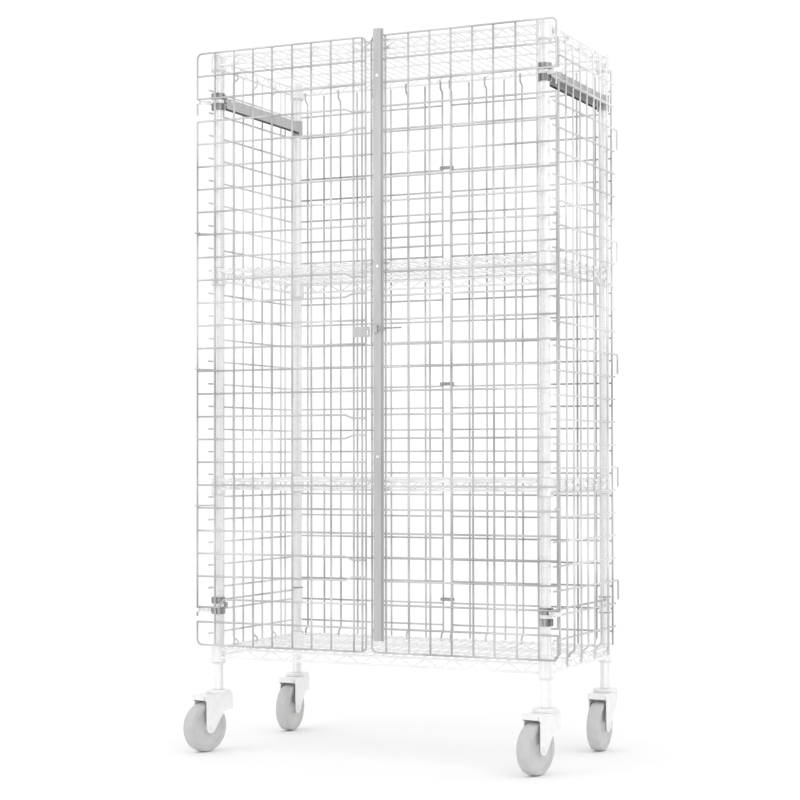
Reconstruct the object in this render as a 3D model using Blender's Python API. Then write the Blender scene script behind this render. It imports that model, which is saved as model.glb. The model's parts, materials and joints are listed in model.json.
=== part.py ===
"""Mobile wire security cart: four shelves on four posts, caged in mesh, on swivel casters.

Units are metres, +Z up. X runs across the two doors, -Y is the door side, and the floor
is z = 0. Every shape is laid out about the centre of the four posts, and one empty then
shifts the whole cart so that the origin lies below the centre of its outer box, on the
floor. Heights in this file count from 9 mm below the floor.
"""
import math

import bmesh
import bpy
from mathutils import Matrix, Vector

# --- driving dimensions -------------------------------------------------------------
POST_X = 0.439              # post centres, half of the spacing across the doors
POST_Y = 0.211              # post centres, half of the spacing front to back
POST_RADIUS = 0.0127        # one inch tube
POST_BORE = 0.0113
POST_BOTTOM = 0.161
POST_TOP = 1.750
CAP_HEIGHT = 0.009
CAP_PLUG = 0.012            # how far each cap reaches down inside its tube
CART_SHIFT_Y = 0.034        # from the post centre to the centre of the outer box
CART_SHIFT_Z = -0.009       # sets the wheels on the floor
ROUND_SIDES = 12            # sides of every tube, collar and clamp
GAP = 0.0003                # between pieces that touch
FIT = 0.0003                # around a post inside a collar, clamp or ring

SHELF_TOPS = {"bottom": 0.270, "lower": 0.692, "upper": 1.219, "top": 1.759}
SHELF_HALF_X = 0.4565
SHELF_HALF_Y = 0.2286
SHELF_HEIGHT = 0.031
SHELF_RAIL = 0.005          # width of the rim, which stands for two rails and their zigzag
SHELF_SLATS = 7
SHELF_SLAT_REACH = 0.400    # outermost slats, half of their spacing
DECK_WIRE = 0.0055
DECK_BAR = 0.004
COLLAR_HEIGHT = 0.040
COLLAR_RADIUS = 0.0182

WIRE = 0.005                # side of the square that stands for a 4.8 mm round wire
ROW_PITCH = 0.05715         # spacing of the real horizontal wires
DOOR_Y = -0.243
DOOR_TOP_ROW = 1.7598
DOOR_ROWS = 26
DOOR_CAD_ROWS = (0, 2, 5, 8, 11, 14, 17, 20, 24, 26)
DOOR_HINGE_X = 0.481        # the doors turn about their outer vertical wires
LEFT_DOOR_COLUMNS = (-0.323, -0.160, -0.0443, -0.0098)
RIGHT_DOOR_COLUMNS = (0.322, 0.158, 0.042, 0.006)
HINGE_ROWS = (2, 24)        # the rows that rest on the hinge lugs
PIN_LENGTH = 0.0405         # hinge pin below its row
PIN_BREAK = 0.0170          # break in the outer wire below each pin

SIDE_X = 0.461
SIDE_TOP_ROW = {"left": 1.672, "right": 1.688}
SIDE_COLUMNS = {
    "left": (-0.151, -0.050, 0.052, 0.179),
    "right": (-0.169, -0.070, 0.030, 0.179),
}
SIDE_FRONT = -0.219
SIDE_BACK = 0.226
PANEL_ROWS = 24
SIDE_CAD_ROWS = (0, 2, 7, 12, 17, 22, 24)
BACK_CAD_ROWS = (0, 4, 8, 12, 16, 20, 24)
OVERHANG_TOP = 0.053        # vertical wires run on above the top row
OVERHANG_BOTTOM = 0.060     # and below the bottom row
REAR_HOOK_ROWS = (2, 7, 12, 17, 22)
REAR_HOOK_Y = 0.2506
REAR_HOOK_DROP = 0.050
FRONT_HOOK_ROWS = (8, 14, 20)   # door rows just below the hooks that hold the door wire
FRONT_HOOK_RISE = 0.0053
HOOK_WIRE = 0.004
HOOK_RADIUS = 0.0062

BACK_Y = 0.236
BACK_TOP_ROW = 1.673
BACK_OVERHANG_BOTTOM = 0.035
BACK_COLUMNS = {
    "left": (-0.0167, -0.1676, -0.3185, -0.455),
    "right": (0.0095, 0.1592, 0.3089, 0.4515),
}
BACK_CLIP_X = (-0.023, 0.017)
BACK_CLIP_HEIGHTS = {"upper": 1.507, "middle": 0.936, "lower": 0.369}

CLAMP_HEIGHTS = {"upper": 1.641, "lower": 0.371}
CLAMP_HALF_HEIGHT = 0.021
CLAMP_RADIUS = 0.0178
CLAMP_WAIST = 0.0145        # radius of the gap between the clamp's two bands
CLAMP_WAIST_HALF_HEIGHT = 0.006
LEFT_LOWER_LUG_DROP = 0.019     # this lug sits lower under its row than the others
LUG_HEIGHT = 0.010
RING_RADIUS = 0.0158        # rings round the back posts, at the ends of channels and ties
RING_REACH = 0.0138         # a channel or tie runs this far into its ring
CHANNEL_RING = (1.618, 1.658)
TIE_RING = (0.350, 0.391)
TIE_X = 0.4455
TIE_Z = 0.3835
EYE_BORE = 0.00373          # to the corners of the bore; the flats clear the square pin
EYE_RADIUS = 0.0085

BAR_X0 = 0.0145             # lock bar, left and right edges of its face
BAR_X1 = 0.0350
BAR_LIP_X = 0.0400
BAR_SHEET = 0.0015
BAR_BACK = DOOR_Y - WIRE / 2 - GAP
BAR_FRONT = -0.2520
BAR_BOTTOM = 0.302
BAR_TOP = 1.7766
BAR_RIVET_HEIGHTS = {"upper": 1.662, "middle": 1.202, "lower": 0.744}
BAR_HOOK_BACK = -0.2330     # a bent strap hangs the bar over the door's top wire
BAR_HOOK_LOW = 1.7660
BAR_HOOK_ROOT = 1.745
RIVET_X = 0.0255
RIVET_RADIUS = 0.0042
RIVET_HEIGHT = 0.0020

BOLT_HEIGHT = 1.0515
BOLT_STRAP = (0.0160, 0.0485)   # left and right ends of the flat strap
BOLT_STRAP_HEIGHT = 0.008
BOLT_THICKNESS = 0.0029
BOLT_ROD_START = 0.0470
BOLT_ROD_END = 0.0903
BOLT_ROD_RADIUS = 0.0020
GUIDE_SPAN = (0.0165, 0.0265)
GUIDE_HEIGHT = 0.018
GUIDE_SLOT_HEIGHT = 0.009
GUIDE_SLOT_DEPTH = 0.0034
GUIDE_SHEET = 0.0020
KEEPER_SPAN = (-0.0433, 0.0020)
KEEPER_HEIGHTS = (1.033, 1.058)
KEEPER_SLOT = (-0.0056, -0.0020, 1.0370, 1.0490)
KEEPER_SHEET = 0.0020

WHEEL_RADIUS = 0.062
WHEEL_HEIGHT = 0.071        # wheel centre
WHEEL_HALF_WIDTH = 0.016
TREAD_CHAMFER = (0.005, 0.003)  # radial and sideways
TREAD_BORE = 0.0443
HUB_HALF_WIDTH = 0.0185
HUB_BOSS_RADIUS = 0.0150
HUB_DISC_RADIUS = 0.0180    # the hub's disc starts here, thinner than the boss
HUB_DISC_HALF_WIDTH = 0.0110
HUB_RIM_HALF_WIDTH = 0.0130
AXLE_RADIUS = 0.0050
AXLE_HEAD_RADIUS = 0.0080
AXLE_HEAD_HEIGHT = 0.005
RUNNING_FIT = 0.00006       # of each hub on its axle
CASTER_TRAIL = 0.045
FORK_HALF_WIDTH = 0.0245
FORK_TOP = 0.1515
FORK_BACK = -0.070          # the trailing plate over the wheel
FORK_BACK_LOW = 0.139
FORK_FRONT = 0.030
FORK_FRONT_LOW = 0.113
FORK_SHEET = 0.0035
FORK_SLOT_HALF_WIDTH = 0.0200
FORK_BOSS = 0.0145          # round end of the cheeks, about the axle
FORK_HOLE = 0.0055
RACE_RADIUS = 0.032
RACE_CHAMFER = (0.005, 0.003)
STEM_RADIUS = 0.0108
STEM_LENGTH = 0.050         # up inside the post
CASTERS = {                 # post side in X and Y, and swivel angle in degrees
    "front_left": (-1, -1, -17.5),
    "front_right": (1, -1, -12.0),
    "back_left": (-1, 1, 3.0),
    "back_right": (1, 1, 1.0),
}

# --- materials ------------------------------------------------------------------------
COLOURS = {
    "chrome_wire": ((0.48, 0.49, 0.50), 0.25, 1.0),
    "chrome_post": ((0.80, 0.81, 0.82), 0.15, 1.0),
    "chrome_shelf": ((0.72, 0.73, 0.74), 0.25, 1.0),
    "zinc_fork": ((0.74, 0.75, 0.76), 0.35, 1.0),
    "zinc_sheet": ((0.52, 0.53, 0.54), 0.40, 1.0),
    "clamp_steel": ((0.45, 0.45, 0.46), 0.40, 1.0),
    "grey_tread": ((0.55, 0.55, 0.54), 0.60, 0.0),
    "grey_hub": ((0.42, 0.40, 0.40), 0.50, 0.0),
    "pale_plastic": ((0.72, 0.72, 0.71), 0.50, 0.0),
}


def make_material(name):
    colour, roughness, metallic = COLOURS[name]
    material = bpy.data.materials.new(name)
    material.use_nodes = True
    shader = material.node_tree.nodes["Principled BSDF"]
    shader.inputs["Base Color"].default_value = (*colour, 1.0)
    shader.inputs["Roughness"].default_value = roughness
    shader.inputs["Metallic"].default_value = metallic
    return material


def get_material(name):
    return bpy.data.materials.get(name) or make_material(name)


# --- mesh helpers -----------------------------------------------------------------------
def add_object(name, bm, material, parent, cutter=False):
    """Turn a bmesh into a named object under its parent empty."""
    bmesh.ops.recalc_face_normals(bm, faces=bm.faces)
    mesh = bpy.data.meshes.new(name)
    bm.to_mesh(mesh)
    bm.free()
    mesh.materials.append(get_material(material))
    piece = bpy.data.objects.new(name, mesh)
    bpy.context.scene.collection.objects.link(piece)
    piece.parent = parent
    if cutter:
        piece.hide_render = True
        piece.display_type = "WIRE"
    return piece


def add_empty(name, parent, location, angle=0.0):
    empty = bpy.data.objects.new(name, None)
    bpy.context.scene.collection.objects.link(empty)
    empty.parent = parent
    empty.location = location
    empty.rotation_euler = (0.0, 0.0, angle)
    return empty


def combine(piece, operation, helpers):
    """Join or cut a piece with helper objects, which stay out of the model."""
    for helper in helpers:
        modifier = piece.modifiers.new(helper.name, "BOOLEAN")
        modifier.operation = operation
        modifier.object = helper
        modifier.solver = "EXACT"
    return piece


def shade_round(piece):
    piece.data.shade_smooth()
    piece.data.set_sharp_from_angle(angle=math.radians(40))
    return piece


def plane_matrix(plane):
    """Map flat (u, v, depth) to world for a sheet that lies in XY, XZ or YZ."""
    axes = {"xy": ((1, 0, 0), (0, 1, 0), (0, 0, 1)),
            "xz": ((1, 0, 0), (0, 0, 1), (0, 1, 0)),
            "yz": ((0, 1, 0), (0, 0, 1), (1, 0, 0))}[plane]
    return Matrix([list(column) for column in zip(*axes)]).to_4x4()


def drop_plain_joints(bm, depth):
    """Merge the lengths of a straight bar where nothing joins it."""
    bm.normal_update()
    plain = set()
    across = []
    for edge in bm.edges:
        flat = all(abs(face.normal.dot(depth)) > 0.99 for face in edge.link_faces)
        if flat and all(len(vert.link_edges) == 4 for vert in edge.verts):
            across.append(edge)
            plain.update(edge.verts)
    through = [edge for edge in bm.edges
               if edge not in across and all(vert in plain for vert in edge.verts)
               and abs((edge.verts[1].co - edge.verts[0].co).normalized().dot(depth)) > 0.99]
    bmesh.ops.dissolve_edges(bm, edges=across + through, use_verts=True)


def grid_sheet(rectangles, plane, low, high):
    """One closed sheet covering a set of rectangles (u0, u1, v0, v1), open between them."""
    us = sorted({round(u, 6) for box in rectangles for u in box[:2]})
    vs = sorted({round(v, 6) for box in rectangles for v in box[2:]})

    def covered(i, j):
        if not (0 <= i < len(us) - 1 and 0 <= j < len(vs) - 1):
            return False
        u = (us[i] + us[i + 1]) / 2
        v = (vs[j] + vs[j + 1]) / 2
        return any(a < u < b and c < v < d for a, b, c, d in rectangles)

    bm = bmesh.new()
    matrix = plane_matrix(plane)
    corners = {}

    def corner(i, j, depth):
        key = (i, j, depth)
        if key not in corners:
            corners[key] = bm.verts.new(matrix @ Vector((us[i], vs[j], depth)))
        return corners[key]

    walls = {(-1, 0): ((0, 1), (0, 0)), (1, 0): ((1, 0), (1, 1)),
             (0, -1): ((0, 0), (1, 0)), (0, 1): ((1, 1), (0, 1))}
    for i in range(len(us) - 1):
        for j in range(len(vs) - 1):
            if not covered(i, j):
                continue
            ring = [(i, j), (i + 1, j), (i + 1, j + 1), (i, j + 1)]
            bm.faces.new([corner(a, b, high) for a, b in ring])
            bm.faces.new([corner(a, b, low) for a, b in reversed(ring)])
            for (di, dj), (start, end) in walls.items():
                if covered(i + di, j + dj):
                    continue
                a = (i + start[0], j + start[1])
                b = (i + end[0], j + end[1])
                bm.faces.new([corner(*a, low), corner(*b, low),
                              corner(*b, high), corner(*a, high)])
    drop_plain_joints(bm, matrix @ Vector((0, 0, 1)))
    return bm


def extrude_outline(outline, plane, low, high):
    """One closed prism from an outline of (u, v) points."""
    bm = bmesh.new()
    matrix = plane_matrix(plane)
    bottom = [bm.verts.new(matrix @ Vector((u, v, low))) for u, v in outline]
    top = [bm.verts.new(matrix @ Vector((u, v, high))) for u, v in outline]
    bm.faces.new(bottom)
    bm.faces.new(top)
    for i in range(len(outline)):
        j = (i + 1) % len(outline)
        bm.faces.new([bottom[i], bottom[j], top[j], top[i]])
    return bm


def turn_profile(profile, segments, axis="z", centre=(0.0, 0.0, 0.0), half_step=False,
                 flat=False):
    """Spin (radius, height) points about an axis; a radius of zero closes on the axis.

    With flat set, the radii are those of the flats, and one flat faces down. A half step
    turns the corners between those of a bore that will be cut on the same axis.
    """
    bm = bmesh.new()
    scale = 1.0 / math.cos(math.pi / segments) if flat else 1.0
    start = math.pi / segments if flat or half_step else 0.0
    turn = {"z": Matrix.Identity(3),
            "x": Matrix.Rotation(math.pi / 2, 3, "Y"),
            "y": Matrix.Rotation(-math.pi / 2, 3, "X")}[axis]
    rings = []
    for radius, height in profile:
        if radius == 0.0:
            rings.append([bm.verts.new(turn @ Vector((0, 0, height)) + Vector(centre))])
            continue
        ring = []
        for k in range(segments):
            angle = start + 2 * math.pi * k / segments
            point = Vector((radius * scale * math.cos(angle),
                            radius * scale * math.sin(angle), height))
            ring.append(bm.verts.new(turn @ point + Vector(centre)))
        rings.append(ring)
    closed = profile[0][0] != 0.0
    pairs = list(zip(rings, rings[1:]))
    if closed:
        pairs.append((rings[-1], rings[0]))
    for lower, upper in pairs:
        for k in range(segments):
            n = (k + 1) % segments
            face = []
            for vert in (lower[k % len(lower)], lower[n % len(lower)],
                         upper[n % len(upper)], upper[k % len(upper)]):
                if vert not in face:
                    face.append(vert)
            bm.faces.new(face)
    return bm


def ribbon_outline(path, half_width):
    """Outline of a bent strip that follows a path of (x, y) points."""
    left, right = [], []
    for i, point in enumerate(path):
        before = Vector(path[max(i - 1, 0)])
        after = Vector(path[min(i + 1, len(path) - 1)])
        along = (after - before).normalized()
        side = Vector((-along.y, along.x)) * half_width
        left.append(tuple(Vector(point) + side))
        right.append(tuple(Vector(point) - side))
    return left + right[::-1]


def arc(centre, radius, start_degrees, end_degrees, steps):
    points = []
    for k in range(steps + 1):
        angle = math.radians(start_degrees + (end_degrees - start_degrees) * k / steps)
        points.append((centre[0] + radius * math.cos(angle),
                       centre[1] + radius * math.sin(angle)))
    return points


def cylinder_cutter(name, radius, low, high, parent, centre):
    profile = [(0.0, low), (radius, low), (radius, high), (0.0, high)]
    bm = turn_profile(profile, ROUND_SIDES, "z", (centre[0], centre[1], 0.0))
    return add_object(name, bm, "zinc_sheet", parent, cutter=True)


def band(centre, width=WIRE):
    return centre - width / 2, centre + width / 2


# --- posts and shelves ------------------------------------------------------------------
def make_post(side, x, y, cart):
    profile = [(POST_BORE, POST_BOTTOM), (POST_RADIUS, POST_BOTTOM),
               (POST_RADIUS, POST_TOP), (POST_BORE, POST_TOP)]
    bm = turn_profile(profile, ROUND_SIDES, centre=(x, y, 0.0))
    shade_round(add_object("post_" + side, bm, "chrome_post", cart))
    base = POST_TOP + GAP
    plug = POST_BORE - 2 * FIT
    profile = [(0.0, base - CAP_PLUG), (plug, base - CAP_PLUG), (plug, base),
               (POST_RADIUS, base), (POST_RADIUS, base + 0.6 * CAP_HEIGHT),
               (0.75 * POST_RADIUS, base + CAP_HEIGHT), (0.0, base + CAP_HEIGHT)]
    bm = turn_profile(profile, ROUND_SIDES, centre=(x, y, 0.0))
    shade_round(add_object("post_cap_" + side, bm, "pale_plastic", cart))


def make_shelf(level, top, cart):
    rail = SHELF_RAIL
    deck_high = top - 0.0008
    deck_low = deck_high - rail
    inner_x = SHELF_HALF_X - rail / 2
    inner_y = SHELF_HALF_Y - rail / 2
    slats = []
    for k in range(SHELF_SLATS):
        x = SHELF_SLAT_REACH * (2 * k / (SHELF_SLATS - 1) - 1)
        slats.append((*band(x, DECK_WIRE), -inner_y, inner_y))
    for y in (-inner_y, 0.0, inner_y):
        slats.append((-inner_x, inner_x, *band(y, DECK_BAR)))
    deck = add_object("shelf_deck_" + level, grid_sheet(slats, "xy", deck_low, deck_high),
                      "chrome_shelf", cart, cutter=True)
    ring = [(-SHELF_HALF_X, -SHELF_HALF_X + rail, -SHELF_HALF_Y, SHELF_HALF_Y),
            (SHELF_HALF_X - rail, SHELF_HALF_X, -SHELF_HALF_Y, SHELF_HALF_Y),
            (-SHELF_HALF_X, SHELF_HALF_X, -SHELF_HALF_Y, -SHELF_HALF_Y + rail),
            (-SHELF_HALF_X, SHELF_HALF_X, SHELF_HALF_Y - rail, SHELF_HALF_Y)]
    shelf = add_object("shelf_" + level, grid_sheet(ring, "xy", top - SHELF_HEIGHT, top),
                       "chrome_shelf", cart)
    collars, bores = [], []
    for side, (sx, sy, _) in CASTERS.items():
        x, y = sx * POST_X, sy * POST_Y
        low, high = top - COLLAR_HEIGHT, top + 0.0006
        profile = [(0.0, low), (COLLAR_RADIUS, low), (COLLAR_RADIUS, high), (0.0, high)]
        bm = turn_profile(profile, ROUND_SIDES, centre=(x, y, 0.0), half_step=True)
        label = "shelf_collar_" + level + "_" + side
        collars.append(add_object(label, bm, "chrome_shelf", cart, cutter=True))
        bores.append(cylinder_cutter(label + "_bore", POST_RADIUS + FIT, low - 0.01,
                                     high + 0.01, cart, (x, y)))
    combine(shelf, "UNION", [deck] + collars)
    combine(shelf, "DIFFERENCE", bores)


# --- mesh doors and panels ----------------------------------------------------------------
def row_height(top, row):
    return top - row * ROW_PITCH


def make_door(side, columns, cart):
    """Mesh leaf whose outer wire is broken below each hinge pin."""
    sign = -1 if side == "left" else 1
    hinge = sign * DOOR_HINGE_X
    inner = columns[-1]
    low_u = min(hinge, inner) - WIRE / 2
    high_u = max(hinge, inner) + WIRE / 2
    top = DOOR_TOP_ROW + WIRE / 2
    bottom = row_height(DOOR_TOP_ROW, DOOR_ROWS) - WIRE / 2
    boxes = [(*band(x), bottom, top) for x in columns]
    for row in DOOR_CAD_ROWS:
        boxes.append((low_u, high_u, *band(row_height(DOOR_TOP_ROW, row))))
    start = top
    for row in HINGE_ROWS:
        pin_end = row_height(DOOR_TOP_ROW, row) - PIN_LENGTH
        boxes.append((*band(hinge), pin_end, start))
        start = pin_end - PIN_BREAK
    boxes.append((*band(hinge), bottom, start))
    bm = grid_sheet(boxes, "xz", DOOR_Y - WIRE / 2, DOOR_Y + WIRE / 2)
    return add_object(side + "_door", bm, "chrome_wire", cart)


def hook_outline(sign, start):
    """Strip from the side panel's front wire round the door's hinge wire."""
    path = [(SIDE_X, start), (SIDE_X, SIDE_FRONT + 0.007)]
    path += arc((DOOR_HINGE_X, DOOR_Y), HOOK_RADIUS, 40, -170, 7)
    return ribbon_outline([(sign * x, y) for x, y in path], HOOK_WIRE / 2)


def make_side_panel(side, cart):
    sign = -1 if side == "left" else 1
    columns = SIDE_COLUMNS[side]
    top_row = SIDE_TOP_ROW[side]
    top = top_row + OVERHANG_TOP
    bottom = row_height(top_row, PANEL_ROWS) - OVERHANG_BOTTOM
    boxes = [(*band(y), bottom, top) for y in columns]
    for row in SIDE_CAD_ROWS:
        boxes.append((SIDE_FRONT, SIDE_BACK, *band(row_height(top_row, row))))
    for row in REAR_HOOK_ROWS:
        z = row_height(top_row, row)
        boxes.append((columns[-1], REAR_HOOK_Y, *band(z)))
        boxes.append((REAR_HOOK_Y - WIRE, REAR_HOOK_Y, z - REAR_HOOK_DROP, z))
    inner, outer = sorted((sign * (SIDE_X - WIRE / 2), sign * (SIDE_X + WIRE / 2)))
    panel = add_object(side + "_side_panel", grid_sheet(boxes, "yz", inner, outer),
                       "chrome_wire", cart)
    hooks = []
    for row in FRONT_HOOK_ROWS:
        z = row_height(DOOR_TOP_ROW, row) + FRONT_HOOK_RISE
        bm = extrude_outline(hook_outline(sign, columns[0]), "xy", *band(z, HOOK_WIRE))
        hooks.append(add_object("%s_hook_%d" % (side, row), bm, "chrome_wire", cart, True))
    combine(panel, "UNION", hooks)


def make_back_panel(side, cart):
    columns = BACK_COLUMNS[side]
    top = BACK_TOP_ROW + OVERHANG_TOP
    bottom = row_height(BACK_TOP_ROW, PANEL_ROWS) - BACK_OVERHANG_BOTTOM
    low_u = min(columns) - WIRE / 2
    high_u = max(columns) + WIRE / 2
    boxes = [(*band(x), bottom, top) for x in columns]
    for row in BACK_CAD_ROWS:
        boxes.append((low_u, high_u, *band(row_height(BACK_TOP_ROW, row))))
    bm = grid_sheet(boxes, "xz", BACK_Y - WIRE / 2, BACK_Y + WIRE / 2)
    add_object(side + "_back_panel", bm, "chrome_wire", cart)


def make_back_clip(level, z, cart):
    front = BACK_Y - WIRE / 2 - GAP
    bm = grid_sheet([(*BACK_CLIP_X, *band(z, 0.009))], "xz", front - 0.003, front)
    add_object("back_clip_" + level, bm, "clamp_steel", cart)


# --- hinge clamps, side channels and ties ---------------------------------------------------
def make_hinge_clamp(side, level, cart):
    """Split band round the post, with a lug whose eye holds the door's pin."""
    sign = -1 if side == "left" else 1
    x, y = sign * POST_X, -POST_Y
    middle = CLAMP_HEIGHTS[level]
    step = CLAMP_WAIST_HALF_HEIGHT
    low, high = middle - CLAMP_HALF_HEIGHT, middle + CLAMP_HALF_HEIGHT
    profile = [(0.0, low), (CLAMP_RADIUS, low), (CLAMP_RADIUS, middle - step),
               (CLAMP_WAIST, middle - step + 0.0005), (CLAMP_WAIST, middle + step - 0.0005),
               (CLAMP_RADIUS, middle + step), (CLAMP_RADIUS, high), (0.0, high)]
    name = "hinge_clamp_%s_%s" % (side, level)
    bm = turn_profile(profile, ROUND_SIDES, centre=(x, y, 0.0), half_step=True)
    clamp = add_object(name, bm, "clamp_steel", cart)

    row = HINGE_ROWS[0] if level == "upper" else HINGE_ROWS[1]
    lug_top = row_height(DOOR_TOP_ROW, row) - WIRE / 2 - 0.0004
    if (side, level) == ("left", "lower"):
        lug_top -= LEFT_LOWER_LUG_DROP
    eye = Vector((sign * DOOR_HINGE_X, DOOR_Y))
    root = Vector((x, y))
    along = (eye - root).normalized()
    across = Vector((-along.y, along.x)) * 0.003
    heading = math.degrees(math.atan2(along.y, along.x))
    outline = [tuple(root + across), tuple(root - across)]
    outline += arc(eye, EYE_RADIUS, heading - 155, heading + 155, 10)
    bm = extrude_outline(outline, "xy", lug_top - LUG_HEIGHT, lug_top)
    lug = add_object(name + "_lug", bm, "clamp_steel", cart, cutter=True)
    post_bore = cylinder_cutter(name + "_bore", POST_RADIUS + FIT, low - 0.01,
                                high + 0.01, cart, (x, y))
    eye_bore = cylinder_cutter(name + "_eye", EYE_BORE, lug_top - 0.02,
                               lug_top + 0.01, cart, eye)
    combine(clamp, "UNION", [lug])
    combine(clamp, "DIFFERENCE", [post_bore, eye_bore])


def rear_ring(name, sign, low, high, cart):
    x, y = sign * POST_X, POST_Y
    profile = [(0.0, low), (RING_RADIUS, low), (RING_RADIUS, high), (0.0, high)]
    bm = turn_profile(profile, ROUND_SIDES, centre=(x, y, 0.0), half_step=True)
    ring = add_object(name + "_ring", bm, "zinc_sheet", cart, cutter=True)
    bore = cylinder_cutter(name + "_bore", POST_RADIUS + FIT, low - 0.01, high + 0.01,
                           cart, (x, y))
    return ring, bore


def make_side_channel(side, cart):
    """Inverted channel between the posts; its inner leg is the longer one."""
    sign = -1 if side == "left" else 1
    sheet = 0.002
    inner, outer = 0.4255, 0.4525
    top, inner_low, outer_low = 1.6545, 1.6215, 1.6315
    outline = [(inner, inner_low), (inner, top), (outer, top), (outer, outer_low),
               (outer - sheet, outer_low), (outer - sheet, top - sheet),
               (inner + sheet, top - sheet), (inner + sheet, inner_low)]
    name = side + "_side_channel"
    front = -POST_Y + CLAMP_RADIUS + GAP
    bm = bmesh.new()
    ends = []
    for y in (front, POST_Y - RING_REACH):
        ends.append([bm.verts.new((sign * x, y, z)) for x, z in outline])
    for ring in ends:
        bm.faces.new(ring)
    for i in range(len(outline)):
        j = (i + 1) % len(outline)
        bm.faces.new([ends[0][i], ends[0][j], ends[1][j], ends[1][i]])
    channel = add_object(name, bm, "zinc_sheet", cart)
    ring, bore = rear_ring(name, sign, *CHANNEL_RING, cart)
    combine(channel, "UNION", [ring])
    combine(channel, "DIFFERENCE", [bore])


def make_side_tie(side, cart):
    """Rod from the lower hinge clamp to a ring on the back post."""
    sign = -1 if side == "left" else 1
    name = side + "_side_tie"
    front = -POST_Y + CLAMP_RADIUS + GAP
    box = (*band(sign * TIE_X), front, POST_Y - RING_REACH)
    bm = grid_sheet([box], "xy", *band(TIE_Z))
    tie = add_object(name, bm, "zinc_sheet", cart)
    ring, bore = rear_ring(name, sign, *TIE_RING, cart)
    combine(tie, "UNION", [ring])
    combine(tie, "DIFFERENCE", [bore])


# --- lock bar, keeper and bolt ----------------------------------------------------------------
def make_lock_bar(cart):
    face = BAR_FRONT + BAR_SHEET
    lip = BAR_BACK - BAR_SHEET
    outline = [(BAR_X0, BAR_BACK), (BAR_X0, BAR_FRONT), (BAR_X1, BAR_FRONT),
               (BAR_X1, lip), (BAR_LIP_X, lip), (BAR_LIP_X, BAR_BACK),
               (BAR_X1 - BAR_SHEET, BAR_BACK), (BAR_X1 - BAR_SHEET, face),
               (BAR_X0 + BAR_SHEET, face), (BAR_X0 + BAR_SHEET, BAR_BACK)]
    bm = extrude_outline(outline, "xy", BAR_BOTTOM, BAR_TOP - 0.001)
    add_object("lock_bar", bm, "zinc_sheet", cart)


def make_lock_bar_hook(cart):
    """Strap fixed inside the bar's top end; it goes back over the door wire and down."""
    front = BAR_FRONT + BAR_SHEET + GAP
    inside = BAR_HOOK_BACK - BAR_SHEET
    under = BAR_TOP - BAR_SHEET
    outline = [(front, BAR_HOOK_ROOT), (front, BAR_TOP), (BAR_HOOK_BACK, BAR_TOP),
               (BAR_HOOK_BACK, BAR_HOOK_LOW), (inside, BAR_HOOK_LOW), (inside, under),
               (front + BAR_SHEET, under), (front + BAR_SHEET, BAR_HOOK_ROOT)]
    bm = extrude_outline(outline, "yz", BAR_X0 + BAR_SHEET + GAP, BAR_X1 - BAR_SHEET - GAP)
    add_object("lock_bar_hook", bm, "zinc_sheet", cart)


def make_bar_rivet(level, z, cart):
    base = BAR_FRONT - GAP
    profile = [(0.0, base), (RIVET_RADIUS, base),
               (0.86 * RIVET_RADIUS, base - 0.7 * RIVET_HEIGHT), (0.0, base - RIVET_HEIGHT)]
    bm = turn_profile(profile, 12, "y", (RIVET_X, 0.0, z))
    shade_round(add_object("lock_bar_rivet_" + level, bm, "chrome_post", cart))


def make_bolt_guide(cart):
    """Low bridge that keeps the slide bolt against the lock bar."""
    back = BAR_FRONT - GAP
    slot = back - GUIDE_SLOT_DEPTH - GAP
    front = slot - GUIDE_SHEET
    low, high = band(BOLT_HEIGHT, GUIDE_HEIGHT)
    slot_low, slot_high = band(BOLT_HEIGHT, GUIDE_SLOT_HEIGHT)
    outline = [(back, low), (front, low), (front, high), (back, high), (back, slot_high),
               (slot, slot_high), (slot, slot_low), (back, slot_low)]
    bm = extrude_outline(outline, "yz", *GUIDE_SPAN)
    add_object("bolt_guide", bm, "zinc_sheet", cart)


def make_slide_bolt(cart):
    """Flat bolt with a thin rod as its handle, drawn back to the right."""
    back = BAR_FRONT - 2 * GAP
    front = back - BOLT_THICKNESS
    strap = (*BOLT_STRAP, *band(BOLT_HEIGHT, BOLT_STRAP_HEIGHT))
    bolt = add_object("slide_bolt", grid_sheet([strap], "xz", front, back), "zinc_sheet", cart)
    profile = [(0.0, BOLT_ROD_START), (BOLT_ROD_RADIUS, BOLT_ROD_START),
               (BOLT_ROD_RADIUS, BOLT_ROD_END - 0.0008),
               (0.7 * BOLT_ROD_RADIUS, BOLT_ROD_END), (0.0, BOLT_ROD_END)]
    rod_y = back - BOLT_ROD_RADIUS
    bm = turn_profile(profile, 10, "x", (0.0, rod_y, BOLT_HEIGHT + 0.001))
    combine(bolt, "UNION", [add_object("slide_bolt_rod", bm, "zinc_sheet", cart, True)])


def make_keeper(cart):
    """Plate on the left door with an upright slot for a padlock."""
    x0, x1 = KEEPER_SPAN
    low, high = KEEPER_HEIGHTS
    slot_x0, slot_x1, slot_low, slot_high = KEEPER_SLOT
    boxes = [(x0, slot_x0, low, high), (slot_x1, x1, low, high),
             (x0, x1, low, slot_low), (x0, x1, slot_high, high)]
    bm = grid_sheet(boxes, "xz", BAR_BACK - KEEPER_SHEET, BAR_BACK)
    add_object("lock_keeper", bm, "zinc_sheet", cart)


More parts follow.
